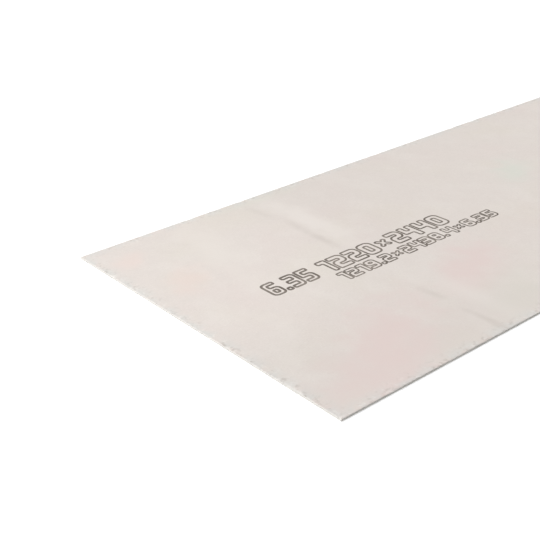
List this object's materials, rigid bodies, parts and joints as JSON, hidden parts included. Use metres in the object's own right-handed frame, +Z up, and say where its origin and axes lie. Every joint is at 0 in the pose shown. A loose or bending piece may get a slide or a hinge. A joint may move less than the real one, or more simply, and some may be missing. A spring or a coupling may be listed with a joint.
{
  "type": "gypsum fibre roof board",
  "caption": "Thin flat sheet of pressed gypsum fibre with square sawn edges, laid over a roof deck or insulation as a firm base for a roof membrane.",
  "frame": {"origin": "middle of the underside, on the surface the board lies on", "axes": "+X along the board's length, +Y across its width, +Z up out of its top face"},
  "size_m": [2.4384, 1.2192, 0.0063],
  "materials": {
    "gypsum_fibre": "matte",
    "marking_ink": "matte"
  },
  "bodies": {
    "root": {"roof_board": "gypsum_fibre"}
  },
  "joints": []
}
